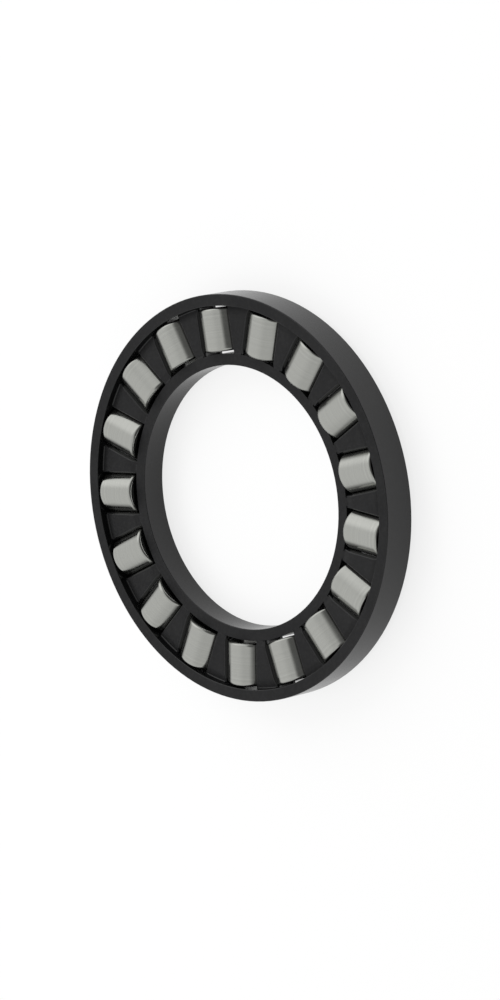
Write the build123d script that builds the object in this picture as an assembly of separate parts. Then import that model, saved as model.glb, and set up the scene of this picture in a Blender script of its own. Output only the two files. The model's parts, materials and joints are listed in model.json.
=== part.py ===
from build123d import *
from math import cos, radians, sin, sqrt
import os

# Thrust roller and cage assembly, in millimetres.
#
# A moulded ring cage holds seventeen cylindrical rollers in radial pockets. The origin is on the
# ring's axis, in the plane of the roller axes, which is halfway between the two raceways that the
# rollers run on. +Z points out of the face that the rollers are snapped in from. The first roller
# lies towards -Y and the next ones follow counter-clockwise, seen from +Z.

# Rollers
roller_count = 17
roller_diameter = 5.0
roller_length = 5.0
roller_end_round = 0.35

# Cage, from the bore outwards. The outside diameter comes to 46.5.
bore_diameter = 30.2
hub_wall = 1.3
rim_wall = 1.35

# How far the rollers stand out past each face of the cage
rim_front_setback = 0.15
rim_back_setback = 0.85
hub_setback = 1.0
web_step = 0.08

# Pockets
seat_clearance = 0.10
roller_end_gap = 0.25
mouth_round = 0.50
mouth_turn = 78
relief_length = 0.45
relief_margin = 0.17

# Edges
rim_edge_round = 0.12
rim_lip_round = 0.12
hub_edge_round = 0.10
hub_slope = 0.25
foot_fillet = 0.20

first_roller_angle = -90

# Radii, from the ring's axis
bore_radius = bore_diameter / 2
hub_radius = bore_radius + hub_wall
pitch_radius = hub_radius + roller_end_gap + roller_length / 2
rim_inner_radius = pitch_radius + roller_length / 2 + roller_end_gap
outer_radius = rim_inner_radius + rim_wall

# Heights, from the plane of the roller axes
roller_radius = roller_diameter / 2
rim_front = roller_radius - rim_front_setback
rim_back = rim_back_setback - roller_radius
hub_front = roller_radius - hub_setback
hub_back = -hub_front
web_front = hub_front - web_step
web_back = hub_back

# The seat wraps the roller past its widest line on both faces of the web, so that the roller has to
# be snapped in past the narrow mouth and can't fall out.
seat_radius = roller_radius + seat_clearance
throat_half_width = sqrt(seat_radius**2 - web_front**2)
mouth_half_width = throat_half_width + mouth_round * (1 - cos(radians(mouth_turn)))
relief_half_width = throat_half_width + relief_margin

# How far a cutting tool reaches past the face that it cuts
overrun = 1.0


def ring_blank():
    """The cage before its pockets are cut: hub, web disc and rim in one turned section."""
    # The outline starts at the back of the bore and goes round the front.
    outline = Polyline(
        (bore_radius, 0, hub_back),
        (bore_radius, 0, hub_front),
        (hub_radius, 0, hub_front),
        (hub_radius + hub_slope, 0, web_front),
        (rim_inner_radius, 0, web_front),
        (rim_inner_radius, 0, rim_front),
        (outer_radius, 0, rim_front),
        (outer_radius, 0, rim_back),
        (rim_inner_radius, 0, rim_back),
        (rim_inner_radius, 0, web_back),
        close=True,
    )
    section = make_face(outline)

    def corner(radius, height):
        at = Vector(radius, 0, height)
        return section.vertices().sort_by_distance(at)[0]

    section = fillet([corner(bore_radius, hub_back), corner(bore_radius, hub_front)], hub_edge_round)
    section = fillet([corner(outer_radius, rim_back), corner(outer_radius, rim_front)], rim_edge_round)
    section = fillet(corner(rim_inner_radius, rim_front), rim_lip_round)
    section = fillet(corner(rim_inner_radius, web_front), foot_fillet)
    return revolve(section, Axis.Z)


def pocket_cutter():
    """What one pocket takes out of the blank, for a roller whose axis lies along +X."""
    # The seat and its mouth are one outline, drawn across the roller's axis. The mouth's two lips are
    # rounded, so that a roller slides in over them.
    seat = Circle(seat_radius)
    lip_middle = throat_half_width + mouth_round
    lip_height = web_front - mouth_round * sin(radians(mouth_turn))
    above = rim_front + overrun
    right_lip = CenterArc((lip_middle, lip_height), mouth_round, 180, -mouth_turn)
    left_lip = CenterArc((-lip_middle, lip_height), mouth_round, mouth_turn, -mouth_turn)
    sides = Polyline(right_lip @ 1, (mouth_half_width, above), (-mouth_half_width, above), left_lip @ 0)
    mouth = make_face([right_lip, sides, left_lip, Line(left_lip @ 1, right_lip @ 0)])
    across = Plane(origin=(0, 0, 0), x_dir=(0, 1, 0), z_dir=(1, 0, 0))
    pocket = extrude(across * (seat + mouth), outer_radius)

    # A straight slot at each end of the pocket runs clear through the web.
    slot_height = rim_front - web_back + 2 * overrun
    slot_middle = (rim_front + web_back) / 2
    slot = Box(relief_length + overrun, 2 * relief_half_width, slot_height)
    inner_slot = Pos(hub_radius + (relief_length - overrun) / 2, 0, slot_middle) * slot
    outer_slot = Pos(rim_inner_radius - (relief_length - overrun) / 2, 0, slot_middle) * slot

    # The pocket ends on the round walls of the hub and the rim, which stay whole.
    reach = 2 * (outer_radius + overrun)
    between_walls = Cylinder(rim_inner_radius, reach) - Cylinder(hub_radius, reach)
    return (pocket + inner_slot + outer_slot) & between_walls


def make_cage(angles):
    """The moulded ring with a pocket at each of the angles."""
    cutter = pocket_cutter()
    return ring_blank() - [Rot(0, 0, angle) * cutter for angle in angles]


def make_roller(angle):
    """One ground roller with rounded ends, in its pocket."""
    roller = Cylinder(roller_radius, roller_length)
    roller = fillet(roller.edges().filter_by(GeomType.CIRCLE), roller_end_round)
    return Rot(0, 0, angle) * Pos(pitch_radius, 0, 0) * Rot(0, 90, 0) * roller


def write(name, solid):
    solid.label = name
    export_step(solid, os.path.join("parts", name + ".step"))


def main():
    os.makedirs("parts", exist_ok=True)
    step = 360 / roller_count
    angles = [first_roller_angle + step * number for number in range(roller_count)]
    write("cage", make_cage(angles))
    for number, angle in enumerate(angles, start=1):
        write(f"roller_{number:02d}", make_roller(angle))


main()
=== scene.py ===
"""Dresses a thrust roller and cage assembly: a moulded ring cage and its ground steel rollers."""

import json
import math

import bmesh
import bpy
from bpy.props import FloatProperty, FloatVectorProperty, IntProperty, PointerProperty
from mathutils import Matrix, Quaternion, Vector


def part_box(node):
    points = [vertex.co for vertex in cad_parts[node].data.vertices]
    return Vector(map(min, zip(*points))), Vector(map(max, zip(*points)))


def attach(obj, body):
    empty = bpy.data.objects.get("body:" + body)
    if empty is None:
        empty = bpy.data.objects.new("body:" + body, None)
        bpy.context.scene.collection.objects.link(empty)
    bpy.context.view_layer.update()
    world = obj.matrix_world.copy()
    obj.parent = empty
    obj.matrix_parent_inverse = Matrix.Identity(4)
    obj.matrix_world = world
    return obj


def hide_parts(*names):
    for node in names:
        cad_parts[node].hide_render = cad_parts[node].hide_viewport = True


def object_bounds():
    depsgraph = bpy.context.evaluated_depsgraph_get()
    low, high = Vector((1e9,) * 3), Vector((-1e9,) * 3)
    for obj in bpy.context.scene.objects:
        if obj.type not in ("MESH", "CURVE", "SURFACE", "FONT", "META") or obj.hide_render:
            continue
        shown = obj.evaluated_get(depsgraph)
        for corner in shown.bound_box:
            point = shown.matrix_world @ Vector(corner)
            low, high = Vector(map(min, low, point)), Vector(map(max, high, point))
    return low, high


bl_info = {
    "name": "Thrust roller cage looks",
    "version": (1, 0, 0),
    "blender": (4, 5, 0),
    "location": "3D View > Sidebar > Roller cage",
    "description": "Finishes a thrust roller and cage assembly and sets up its studio",
    "category": "Object",
}

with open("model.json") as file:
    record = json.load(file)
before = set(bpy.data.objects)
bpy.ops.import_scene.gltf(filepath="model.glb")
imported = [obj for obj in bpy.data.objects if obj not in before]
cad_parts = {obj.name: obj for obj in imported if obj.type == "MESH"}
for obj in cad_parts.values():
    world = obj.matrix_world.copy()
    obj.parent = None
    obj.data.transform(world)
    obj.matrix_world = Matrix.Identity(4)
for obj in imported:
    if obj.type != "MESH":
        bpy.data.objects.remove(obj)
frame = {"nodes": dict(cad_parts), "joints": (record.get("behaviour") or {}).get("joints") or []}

# Sizes read from the frame, in metres
MM = 0.001
CAD_LOW, CAD_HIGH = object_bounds()
CAGE_LOW, CAGE_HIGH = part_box("cage")
ROLLER_LOW, ROLLER_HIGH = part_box("roller_01")
ROLLER_RADIUS = (ROLLER_HIGH.x - ROLLER_LOW.x) / 2
ROLLER_LENGTH = ROLLER_HIGH.y - ROLLER_LOW.y
RIM_MIDDLE = (CAGE_LOW.z + CAGE_HIGH.z) / 2
FLOOR_HEIGHT = CAD_LOW.z
# The web's front face stands this far above the plane of the roller axes
WEB_FRONT = 1.42 * MM

# How far a surface's roughness strays to either side of its own value
ROUGHNESS_DRIFT = 0.04
# A moulded surface counts as a wall while the upright part of its normal is below the first of
# these, and as a face once it is above the second
WALL_LEVEL = 0.85
FACE_LEVEL = 0.97

# The picture's frame, in pixels, and where the ring's axis crosses the rim's mid-height in it
PICTURE_WIDTH = 500
PICTURE_HEIGHT = 1000
RING_PIXEL_X = 246.4
RING_PIXEL_Y = 496.3


def linear(code):
    """An sRGB hex colour, such as "#1c1c1e", as linear red, green and blue."""
    values = [int(code[i:i + 2], 16) / 255 for i in (1, 3, 5)]
    return [v / 12.92 if v <= 0.04045 else ((v + 0.055) / 1.055) ** 2.4 for v in values]


def add_node(tree, kind, inputs=None, **settings):
    """Adds a node, sets its properties and fills its inputs with values or other nodes' outputs."""
    node = tree.nodes.new(kind)
    for name, value in settings.items():
        setattr(node, name, value)
    for name, value in (inputs or {}).items():
        if isinstance(value, bpy.types.NodeSocket):
            tree.links.new(value, node.inputs[name])
        else:
            node.inputs[name].default_value = value
    return node


def new_material(name):
    """An empty node material and its tree."""
    material = bpy.data.materials.new(name)
    material.use_nodes = True
    material.node_tree.nodes.clear()
    return material, material.node_tree


def finish_material(tree, shader):
    """Gives the material's surface its shader."""
    add_node(tree, "ShaderNodeOutputMaterial", {"Surface": shader.outputs[0]})


def per_metre(size):
    """The texture scale at which one pattern repeat is about this long, in metres."""
    return 1 / size


# Sizes and colours that a user may change


class CageLook(bpy.types.PropertyGroup):
    colour: FloatVectorProperty(
        name="Polyamide", description="Colour of the moulded cage", subtype="COLOR",
        size=3, min=0, max=1, default=linear("#111112"))
    fleck_colour: FloatVectorProperty(
        name="Glass flecks", description="Colour where short glass fibres lie near the skin",
        subtype="COLOR", size=3, min=0, max=1, default=linear("#1a1a1b"))
    fleck_size: FloatProperty(
        name="Fleck size", description="Length of the mottling that the glass fibres leave",
        unit="LENGTH", default=0.35 * MM)
    # A spark-eroded grain is some 0.03 mm wide, too fine to show here, so it is drawn coarser
    grain_size: FloatProperty(
        name="Skin grain", description="Width of the fine grain that the spark-eroded mould leaves",
        unit="LENGTH", default=0.16 * MM)
    grain_depth: FloatProperty(
        name="Grain depth", description="Depth of the skin grain", unit="LENGTH",
        default=0.006 * MM, precision=6)
    flow_size: FloatProperty(
        name="Flow marks", description="Width of the patches that the flow of the melt leaves",
        unit="LENGTH", default=4 * MM)
    face_roughness: FloatProperty(
        name="Face roughness", description="Roughness of the faces, from the spark-eroded mould",
        subtype="FACTOR", min=0, max=1, default=0.78)
    wall_roughness: FloatProperty(
        name="Wall roughness", description="Roughness of the walls, from the polished mould",
        subtype="FACTOR", min=0, max=1, default=0.19)


class LandLook(bpy.types.PropertyGroup):
    height: FloatProperty(
        name="Land height", description="How far a land stands above its web", unit="LENGTH",
        default=0.22 * MM)
    start: FloatProperty(
        name="Inner end",
        description="From the ring's axis to the lands' inner ends, just inside the hub",
        unit="LENGTH", default=16.36 * MM)
    end: FloatProperty(
        name="Outer end",
        description="From the ring's axis to the lands' outer ends, just inside the rim",
        unit="LENGTH", default=21.93 * MM)
    ramp: FloatProperty(
        name="Ramp",
        description="Length over which a land rises from the hub, and falls again to the rim",
        unit="LENGTH", default=1.15 * MM)
    ramp_steps: IntProperty(
        name="Ramp steps", description="Facets along each ramp", min=2, default=8)


class RollerLook(bpy.types.PropertyGroup):
    colour: FloatVectorProperty(
        name="Bearing steel", description="Colour of the ground steel", subtype="COLOR",
        size=3, min=0, max=1, default=linear("#b0b1ac"))
    edge_round: FloatProperty(
        name="Edge round", description="Radius between the barrel and the end faces",
        unit="LENGTH", default=0.35 * MM)
    segments: IntProperty(
        name="Segments", description="Facets round the barrel", min=24, default=96)
    round_steps: IntProperty(
        name="Round steps", description="Facets across the edge round", min=2, default=7)
    # Real grinding lines lie some 0.02 mm apart, too close to show here, so they are drawn wider
    grind_spacing: FloatProperty(
        name="Grinding lines", description="Spacing of the lines that centreless grinding leaves",
        unit="LENGTH", default=0.30 * MM)
    grind_depth: FloatProperty(
        name="Line depth", description="Depth of the grinding lines", unit="LENGTH",
        default=0.0012 * MM, precision=6)
    film_size: FloatProperty(
        name="Oil film", description="Width of the patches that the thin oil film leaves",
        unit="LENGTH", default=1.6 * MM)
    roughness: FloatProperty(
        name="Roughness", description="Roughness of the ground steel", subtype="FACTOR",
        min=0, max=1, default=0.16)


class StudioLook(bpy.types.PropertyGroup):
    floor_colour: FloatVectorProperty(
        name="Floor", description="Colour of the paper that the part lies on", subtype="COLOR",
        size=3, min=0, max=1, default=linear("#f7f7f7"))
    floor_radius: FloatProperty(
        name="Floor radius", description="How far the paper reaches", unit="LENGTH", default=3.0)
    fibre_size: FloatProperty(
        name="Paper fibres", description="Length of the paper's fibres", unit="LENGTH",
        default=0.8 * MM)
    fibre_depth: FloatProperty(
        name="Fibre depth", description="How deep the paper's fibres stand", unit="LENGTH",
        default=0.01 * MM, precision=5)
    camera_distance: FloatProperty(
        name="Camera distance", description="From the ring's centre to the camera", unit="LENGTH",
        default=0.5455)
    camera_elevation: FloatProperty(
        name="Camera elevation", description="Angle of the view above the ring's plane",
        subtype="ANGLE", default=math.radians(45.42))
    camera_azimuth: FloatProperty(
        name="Camera azimuth", description="Angle of the view round the ring from the first roller",
        subtype="ANGLE", default=math.radians(-0.63))
    camera_roll: FloatProperty(
        name="Camera roll", description="Turn of the picture about the line of sight",
        subtype="ANGLE", default=math.radians(-101.545))
    focal_length: FloatProperty(
        name="Focal length", description="Lens of the camera, for a 36 mm sensor", unit="CAMERA",
        default=173.48)
    sky_strength: FloatProperty(
        name="Sky", description="Brightness of the white tent round the part", min=0, default=0.76)
    horizon_level: FloatProperty(
        name="Horizon", description="Share of the tent's light at the height of the table",
        subtype="FACTOR", min=0, max=1, default=0.05)
    bright_height: FloatProperty(
        name="Bright from", description="Height above the table from which the tent is bright",
        subtype="ANGLE", default=math.radians(18))
    back_level: FloatProperty(
        name="Back", description="How many times brighter the tent is behind the part", min=0,
        default=1.18)
    key_level: FloatProperty(
        name="Key side", description="How many times brighter the tent is on its key side", min=0,
        default=1.6)
    opening_level: FloatProperty(
        name="Camera opening", description="Share of the tent's light that its opening gives",
        subtype="FACTOR", min=0, max=1, default=0.20)
    panel_size: FloatProperty(
        name="Panel size", description="Side of each soft panel", unit="LENGTH", default=0.5)
    side_power: FloatProperty(
        name="Side panel", description="Power of the panel on the key side", unit="POWER", min=0,
        default=1.6)
    top_power: FloatProperty(
        name="Top panel", description="Power of the panel above", unit="POWER", min=0,
        default=1.2)
    page_share: FloatProperty(
        name="White page", description="How much of the paper's tone is plain white",
        subtype="FACTOR", min=0, max=1, default=0.8)
    mirrored_share: FloatProperty(
        name="Mirrored page",
        description="How much of the paper's tone is plain white in reflections",
        subtype="FACTOR", min=0, max=1, default=0.65)


# Materials


def moulded_polyamide(look):
    """Black glass-filled polyamide 66, injection moulded: a satin skin with a fine spark-eroded
    grain, faintly mottled where short glass fibres lie close under it."""
    material, tree = new_material("polyamide_66_glass_filled_moulded")
    place = add_node(tree, "ShaderNodeTexCoord").outputs["Object"]
    mottling = add_node(
        tree, "ShaderNodeTexNoise",
        {"Vector": place, "Scale": per_metre(look.fleck_size), "Detail": 3.0, "Roughness": 0.6})
    flecks = add_node(
        tree, "ShaderNodeMapRange",
        {"Value": mottling.outputs["Fac"], "From Min": 0.45, "From Max": 0.72})
    colour = add_node(
        tree, "ShaderNodeMix",
        {"Factor": flecks.outputs["Result"], "A": (*look.colour, 1), "B": (*look.fleck_colour, 1)},
        data_type="RGBA")
    # The walls draw along polished steel and come out glossier than the spark-eroded faces
    facing = add_node(tree, "ShaderNodeTexCoord").outputs["Normal"]
    upright = add_node(tree, "ShaderNodeSeparateXYZ", {"Vector": facing})
    level = add_node(tree, "ShaderNodeMath", {0: upright.outputs["Z"]}, operation="ABSOLUTE")
    finish = add_node(
        tree, "ShaderNodeMapRange",
        {"Value": level.outputs["Value"], "From Min": WALL_LEVEL, "From Max": FACE_LEVEL,
         "To Min": look.wall_roughness, "To Max": look.face_roughness})
    # Gloss drifts with the flow of the melt
    flow = add_node(
        tree, "ShaderNodeTexNoise",
        {"Vector": place, "Scale": per_metre(look.flow_size), "Detail": 2.0})
    drift = add_node(
        tree, "ShaderNodeMapRange",
        {"Value": flow.outputs["Fac"], "From Min": 0.3, "From Max": 0.7,
         "To Min": -ROUGHNESS_DRIFT, "To Max": ROUGHNESS_DRIFT})
    roughness = add_node(
        tree, "ShaderNodeMath", {0: finish.outputs["Result"], 1: drift.outputs["Result"]},
        operation="ADD")
    grain = add_node(
        tree, "ShaderNodeTexNoise",
        {"Vector": place, "Scale": per_metre(look.grain_size), "Detail": 2.0})
    bump = add_node(
        tree, "ShaderNodeBump",
        {"Height": grain.outputs["Fac"], "Distance": look.grain_depth, "Strength": 1.0})
    shader = add_node(
        tree, "ShaderNodeBsdfPrincipled",
        {"Base Color": colour.outputs["Result"], "Roughness": roughness.outputs["Value"],
         "IOR": 1.46, "Normal": bump.outputs["Normal"]})
    finish_material(tree, shader)
    return material


def ground_steel(look):
    """Through-hardened bearing steel, centreless ground: bright grey, with fine lines round the
    barrel and rings on the end faces that draw its reflections out along the roller."""
    material, tree = new_material("bearing_steel_100cr6_ground")
    place = add_node(tree, "ShaderNodeTexCoord").outputs["Object"]
    apart = add_node(tree, "ShaderNodeSeparateXYZ", {"Vector": place})
    flat = add_node(
        tree, "ShaderNodeCombineXYZ",
        {"X": apart.outputs["X"], "Y": apart.outputs["Y"], "Z": 0.0})
    radius = add_node(tree, "ShaderNodeVectorMath", {0: flat.outputs["Vector"]}, operation="LENGTH")
    # Along the barrel this grows with Z and across an end face with the radius
    along = add_node(
        tree, "ShaderNodeMath",
        {0: apart.outputs["Z"], 1: radius.outputs["Value"]}, operation="ADD")
    lines = add_node(
        tree, "ShaderNodeTexNoise",
        {"W": along.outputs["Value"], "Scale": per_metre(look.grind_spacing), "Detail": 5.0,
         "Roughness": 0.75},
        noise_dimensions="1D")
    bump = add_node(
        tree, "ShaderNodeBump",
        {"Height": lines.outputs["Fac"], "Distance": look.grind_depth, "Strength": 1.0})
    film = add_node(
        tree, "ShaderNodeTexNoise",
        {"Vector": place, "Scale": per_metre(look.film_size), "Detail": 3.0})
    roughness = add_node(
        tree, "ShaderNodeMapRange",
        {"Value": film.outputs["Fac"], "From Min": 0.3, "From Max": 0.7,
         "To Min": look.roughness - ROUGHNESS_DRIFT, "To Max": look.roughness + ROUGHNESS_DRIFT})
    tone = add_node(
        tree, "ShaderNodeMapRange",
        {"Value": lines.outputs["Fac"], "From Min": 0.25, "From Max": 0.75,
         "To Min": 0.90, "To Max": 1.03})
    colour = add_node(
        tree, "ShaderNodeVectorMath",
        {0: tuple(look.colour), "Scale": tone.outputs["Result"]}, operation="SCALE")
    tangent = add_node(tree, "ShaderNodeTangent", direction_type="RADIAL", axis="Z")
    shader = add_node(
        tree, "ShaderNodeBsdfPrincipled",
        {"Base Color": colour.outputs["Vector"], "Metallic": 1.0,
         "Roughness": roughness.outputs["Result"], "Anisotropic": 0.35,
         "Tangent": tangent.outputs["Tangent"], "Normal": bump.outputs["Normal"]})
    finish_material(tree, shader)
    return material


def studio_paper(look):
    """Matt white background paper: even and pale, it keeps the part's soft shadow."""
    material, tree = new_material("paper_white_matt")
    place = add_node(tree, "ShaderNodeTexCoord").outputs["Object"]
    fibres = add_node(
        tree, "ShaderNodeTexNoise",
        {"Vector": place, "Scale": per_metre(look.fibre_size), "Detail": 2.0})
    bump = add_node(
        tree, "ShaderNodeBump",
        {"Height": fibres.outputs["Fac"], "Distance": look.fibre_depth, "Strength": 0.5})
    paper = add_node(
        tree, "ShaderNodeBsdfPrincipled",
        {"Base Color": (*look.floor_colour, 1), "Roughness": 0.9, "Specular IOR Level": 0.2,
         "Normal": bump.outputs["Normal"]})
    # The camera sees mostly a lit white page, which pales the shadow, and so do reflections
    page = add_node(tree, "ShaderNodeEmission", {"Color": (1.0, 1.0, 1.0, 1.0), "Strength": 1.0})
    path = add_node(tree, "ShaderNodeLightPath")
    direct = add_node(
        tree, "ShaderNodeMath", {0: path.outputs["Is Camera Ray"], 1: look.page_share},
        operation="MULTIPLY")
    indirect = add_node(
        tree, "ShaderNodeMath",
        {0: path.outputs["Is Glossy Ray"], 1: path.outputs["Is Transmission Ray"]},
        operation="MAXIMUM")
    mirrored = add_node(
        tree, "ShaderNodeMath", {0: indirect.outputs["Value"], 1: look.mirrored_share},
        operation="MULTIPLY")
    share = add_node(
        tree, "ShaderNodeMath", {0: direct.outputs["Value"], 1: mirrored.outputs["Value"]},
        operation="MAXIMUM")
    mixed = add_node(
        tree, "ShaderNodeMixShader",
        {0: share.outputs["Value"], 1: paper.outputs["BSDF"], 2: page.outputs["Emission"]})
    finish_material(tree, mixed)
    return material


def compass(azimuth, elevation):
    """The direction at an azimuth from +Y towards +X and a height above the table, in degrees."""
    azimuth = math.radians(azimuth)
    elevation = math.radians(elevation)
    return (
        math.sin(azimuth) * math.cos(elevation),
        math.cos(azimuth) * math.cos(elevation),
        math.sin(elevation))


def white_tent(look):
    """A white light tent: brightest on its key side and behind the part, dim down at the table,
    and dark where its opening for the camera is."""
    world = bpy.data.worlds.new("white_tent")
    world.use_nodes = True
    tree = world.node_tree
    tree.nodes.clear()
    direction = add_node(tree, "ShaderNodeTexCoord").outputs["Generated"]

    def towards(place):
        """How nearly the direction points at this place: the cosine of the angle between them."""
        return add_node(
            tree, "ShaderNodeVectorMath", {0: direction, 1: place},
            operation="DOT_PRODUCT").outputs["Value"]

    # The tent's top leans towards the key side, so its bright part reaches lower down there
    level = add_node(
        tree, "ShaderNodeMapRange",
        {"Value": towards(compass(azimuth=65, elevation=85)),
         "From Min": 0.0, "From Max": math.sin(look.bright_height),
         "To Min": look.sky_strength * look.horizon_level,
         "To Max": look.sky_strength}).outputs["Result"]
    # A patch has its own brightness within a cone of the inner angle, which fades out to the outer
    # one. They are the back, the key side and the camera's opening.
    for azimuth, elevation, inner, outer, brightness in (
            (0, 40, 15, 60, look.back_level),
            (72, 22, 8, 42, look.key_level),
            (170, 9, 37, 57, look.opening_level)):
        patch = add_node(
            tree, "ShaderNodeMapRange",
            {"Value": towards(compass(azimuth, elevation)),
             "From Min": math.cos(math.radians(outer)), "From Max": math.cos(math.radians(inner)),
             "To Min": 1.0, "To Max": brightness},
            interpolation_type="SMOOTHSTEP").outputs["Result"]
        level = add_node(
            tree, "ShaderNodeMath", {0: level, 1: patch}, operation="MULTIPLY").outputs["Value"]
    sky = add_node(
        tree, "ShaderNodeBackground", {"Color": (1.0, 1.0, 1.0, 1.0), "Strength": level})
    add_node(tree, "ShaderNodeOutputWorld", {"Surface": sky.outputs["Background"]})
    return world


# Meshes


def roller_outline(look):
    """Half of a roller's section as (radius, height) points, from one end's centre to the other."""
    half = ROLLER_LENGTH / 2
    edge = look.edge_round
    # Points this close beside the round keep the barrel and the end faces flat
    support = 0.06 * edge
    flat = ROLLER_RADIUS - edge
    # The end face, from its centre
    upper = [(flat * share, half) for share in (0.0, 0.35, 0.7)]
    upper.append((flat - support, half))
    for step in range(look.round_steps + 1):
        turn = math.pi / 2 * step / look.round_steps
        upper.append((flat + edge * math.sin(turn), half - edge + edge * math.cos(turn)))
    # The barrel, down to a third of the way from the middle
    upper.append((ROLLER_RADIUS, half - edge - support))
    upper.append((ROLLER_RADIUS, half / 3))
    lower = [(radius, -height) for radius, height in reversed(upper)]
    return upper + lower


def turned_mesh(name, outline, segments):
    """A closed mesh turned about Z from an outline whose first and last points are on the axis."""
    shape = bmesh.new()
    rings = []
    for radius, height in outline:
        if radius == 0:
            rings.append([shape.verts.new((0, 0, height))])
            continue
        rings.append([
            shape.verts.new((
                radius * math.cos(math.tau * i / segments),
                radius * math.sin(math.tau * i / segments),
                height))
            for i in range(segments)])
    for upper, lower in zip(rings, rings[1:]):
        for i in range(segments):
            j = (i + 1) % segments
            if len(upper) == 1:
                shape.faces.new((upper[0], lower[i], lower[j]))
            elif len(lower) == 1:
                shape.faces.new((upper[j], upper[i], lower[0]))
            else:
                shape.faces.new((upper[j], upper[i], lower[i], lower[j]))
    for face in shape.faces:
        face.smooth = True
    mesh = bpy.data.meshes.new(name)
    shape.to_mesh(mesh)
    shape.free()
    return mesh


def land_sides(look):
    """One side of a land's section as (distance from the roller's axis, height) points.

    It starts inside the web, climbs steeply beside the roller and rolls over to the flat top."""
    # Distances in millimetres, and shares of the land's height
    climb = (
        (2.400, -1.00), (2.315, -1.00), (2.300, -0.77), (2.340, -0.36), (2.385, 0.05),
        (2.430, 0.41), (2.475, 0.66), (2.535, 0.82), (2.605, 0.93), (2.680, 0.99), (2.760, 1.00))
    return [(distance * MM, share * look.height) for distance, share in climb]


def land_ramp(look):
    """How high a land stands along its ramp, as (distance from its end, height) points."""
    ramp = []
    for step in range(look.ramp_steps + 1):
        share = step / look.ramp_steps
        eased = share * share * (3 - 2 * share)
        ramp.append((look.ramp * share, look.height * eased))
    return ramp


def lands_mesh(name, look, axes):
    """One mesh of closed flat-topped lands, one on each web between rollers along these axes."""
    shape = bmesh.new()
    half_step = math.pi / len(axes)
    ramp = land_ramp(look)
    stations = [(look.start + reach, limit) for reach, limit in ramp]
    stations += [(look.end - reach, limit) for reach, limit in reversed(ramp)]

    def corner(middle, side, radius, distance, height):
        """A vertex over a web, this far from the ring's axis and from a roller's on one side."""
        turn = side * (half_step - math.asin(distance / radius))
        out = Quaternion((0, 0, 1), turn) @ (middle * radius)
        return shape.verts.new((out.x, out.y, WEB_FRONT + height))

    for first, second in zip(axes, axes[1:] + axes[:1]):
        middle = (first + second).normalized()
        loops = []
        for radius, limit in stations:
            sides = [(distance, min(height, limit)) for distance, height in land_sides(look)]
            loop = [corner(middle, -1, radius, *point) for point in sides]
            loop += [corner(middle, 1, radius, *point) for point in reversed(sides)]
            loops.append(loop)
        for lower, upper in zip(loops, loops[1:]):
            for i in range(len(lower)):
                j = (i + 1) % len(lower)
                shape.faces.new((lower[i], lower[j], upper[j], upper[i]))
        shape.faces.new(loops[0])
        shape.faces.new(loops[-1])
    bmesh.ops.recalc_face_normals(shape, faces=shape.faces)
    for face in shape.faces:
        face.smooth = True
    mesh = bpy.data.meshes.new(name)
    shape.to_mesh(mesh)
    shape.free()
    return mesh


def dress(thing, material):
    """Gives every material slot of an object this one material."""
    if not thing.material_slots:
        thing.data.materials.append(material)
    for slot in thing.material_slots:
        slot.material = material


def link(thing):
    """Puts a new object in the scene."""
    bpy.context.scene.collection.objects.link(thing)
    return thing


def soft_panel(name, place, size, power):
    """A soft square lamp at a place, turned towards the ring's centre.

    It lights the paper and the plastic, and leaves no mirror image in the steel."""
    lamp = bpy.data.lights.new(name, "AREA")
    lamp.shape = "SQUARE"
    lamp.size = size
    lamp.energy = power
    holder = link(bpy.data.objects.new(name, lamp))
    holder.location = place
    holder.rotation_mode = "QUATERNION"
    holder.rotation_quaternion = Vector(place).to_track_quat("Z", "Y")
    holder.visible_glossy = False


# Operators


class CAGE_OT_dress(bpy.types.Operator):
    """Finish the moulded cage as black glass-filled polyamide"""

    bl_idname = "roller_cage.dress_cage"
    bl_label = "Moulded cage"

    def execute(self, context):
        material = moulded_polyamide(context.scene.cage_look)
        dress(frame["nodes"]["cage"], material)
        return {"FINISHED"}


class CAGE_OT_lands(bpy.types.Operator):
    """Mould the low flat lands on the webs, whose steep sides keep the rollers in"""

    bl_idname = "roller_cage.mould_lands"
    bl_label = "Web lands"

    def execute(self, context):
        axes = [Vector(joint["axis"]) for joint in frame["joints"]]
        mesh = lands_mesh("web_lands", context.scene.land_look, axes)
        lands = link(bpy.data.objects.new("web_lands", mesh))
        # The lands are one moulding with the cage, which is dressed before them
        dress(lands, frame["nodes"]["cage"].material_slots[0].material)
        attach(lands, "cage")
        return {"FINISHED"}


class CAGE_OT_rollers(bpy.types.Operator):
    """Put a finely turned roller in the place of each plain one"""

    bl_idname = "roller_cage.make_rollers"
    bl_label = "Ground rollers"

    def execute(self, context):
        look = context.scene.roller_look
        material = ground_steel(look)
        mesh = turned_mesh("roller", roller_outline(look), look.segments)
        mesh.materials.append(material)
        for joint in frame["joints"]:
            node = joint["child"]
            roller = link(bpy.data.objects.new(f"ground_{node}", mesh))
            outward = Vector(joint["axis"])
            turn = outward.to_track_quat("Z", "X").to_matrix().to_4x4()
            roller.matrix_world = Matrix.Translation(joint["pos_m"]) @ turn
            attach(roller, node)
            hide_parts(node)
        return {"FINISHED"}


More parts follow.
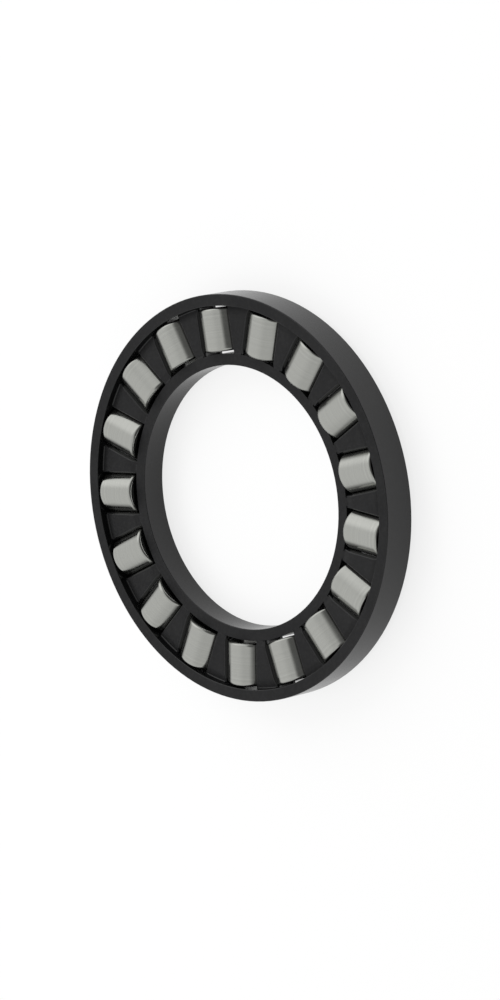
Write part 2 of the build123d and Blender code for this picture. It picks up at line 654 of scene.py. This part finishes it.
class CAGE_OT_studio(bpy.types.Operator):
    """Set up the pale floor, the soft lamps and the camera"""

    bl_idname = "roller_cage.set_up_studio"
    bl_label = "Studio"

    def execute(self, context):
        look = context.scene.studio_look
        self.lay_floor(look)
        self.light_part(context, look)
        self.aim_camera(context, look)
        context.scene.view_settings.view_transform = "Standard"
        return {"FINISHED"}

    def lay_floor(self, look):
        """A round sheet of paper under the rollers."""
        shape = bmesh.new()
        bmesh.ops.create_circle(shape, cap_ends=True, segments=96, radius=look.floor_radius)
        mesh = bpy.data.meshes.new("floor")
        shape.to_mesh(mesh)
        shape.free()
        floor = link(bpy.data.objects.new("floor", mesh))
        floor.location.z = FLOOR_HEIGHT
        dress(floor, studio_paper(look))

    def light_part(self, context, look):
        """The tent and two soft panels."""
        context.scene.world = white_tent(look)
        soft_panel("side_panel", (0.5, 0.25, 0.45), look.panel_size, look.side_power)
        soft_panel("top_panel", (-0.1, 0.3, 0.6), look.panel_size, look.top_power)

    def aim_camera(self, context, look):
        """The camera, placed so that the ring's centre falls on its own pixel of the picture."""
        level = math.cos(look.camera_elevation)
        back = Vector((
            math.sin(look.camera_azimuth) * level,
            -math.cos(look.camera_azimuth) * level,
            math.sin(look.camera_elevation)))
        turn = back.to_track_quat("Z", "Y") @ Quaternion((0, 0, 1), look.camera_roll)
        camera = bpy.data.cameras.new("camera")
        camera.lens = look.focal_length
        camera.clip_start = 0.01
        camera.clip_end = 20
        # One pixel at the ring's distance, in metres
        pixel = look.camera_distance * camera.sensor_width / camera.lens / PICTURE_HEIGHT
        across = (RING_PIXEL_X - PICTURE_WIDTH / 2) * pixel
        down = (RING_PIXEL_Y - PICTURE_HEIGHT / 2) * pixel
        holder = link(bpy.data.objects.new("camera", camera))
        holder.rotation_mode = "QUATERNION"
        holder.rotation_quaternion = turn
        offset = turn @ Vector((-across, down, look.camera_distance))
        holder.location = Vector((0, 0, RIM_MIDDLE)) + offset
        context.scene.camera = holder


class CAGE_PT_sidebar(bpy.types.Panel):
    """The looks of the roller cage and what makes them"""

    bl_idname = "CAGE_PT_sidebar"
    bl_label = "Roller cage"
    bl_space_type = "VIEW_3D"
    bl_region_type = "UI"
    bl_category = "Roller cage"

    def draw(self, context):
        for look, operator in SECTIONS:
            box = self.layout.box()
            group = getattr(context.scene, look)
            for name in group.bl_rna.properties.keys():
                if name not in ("rna_type", "name"):
                    box.prop(group, name)
            box.operator(operator)


# Each property group on the scene, and the operator that reads it
SECTIONS = (
    ("cage_look", "roller_cage.dress_cage"),
    ("land_look", "roller_cage.mould_lands"),
    ("roller_look", "roller_cage.make_rollers"),
    ("studio_look", "roller_cage.set_up_studio"),
)

CLASSES = (
    CageLook,
    LandLook,
    RollerLook,
    StudioLook,
    CAGE_OT_dress,
    CAGE_OT_lands,
    CAGE_OT_rollers,
    CAGE_OT_studio,
    CAGE_PT_sidebar,
)


def register():
    for kind in CLASSES:
        bpy.utils.register_class(kind)
    bpy.types.Scene.cage_look = PointerProperty(type=CageLook)
    bpy.types.Scene.land_look = PointerProperty(type=LandLook)
    bpy.types.Scene.roller_look = PointerProperty(type=RollerLook)
    bpy.types.Scene.studio_look = PointerProperty(type=StudioLook)


def unregister():
    del bpy.types.Scene.studio_look
    del bpy.types.Scene.roller_look
    del bpy.types.Scene.land_look
    del bpy.types.Scene.cage_look
    for kind in reversed(CLASSES):
        bpy.utils.unregister_class(kind)


def main():
    register()
    bpy.ops.roller_cage.dress_cage()
    bpy.ops.roller_cage.mould_lands()
    bpy.ops.roller_cage.make_rollers()
    bpy.ops.roller_cage.set_up_studio()


if __name__ == "__main__":
    main()
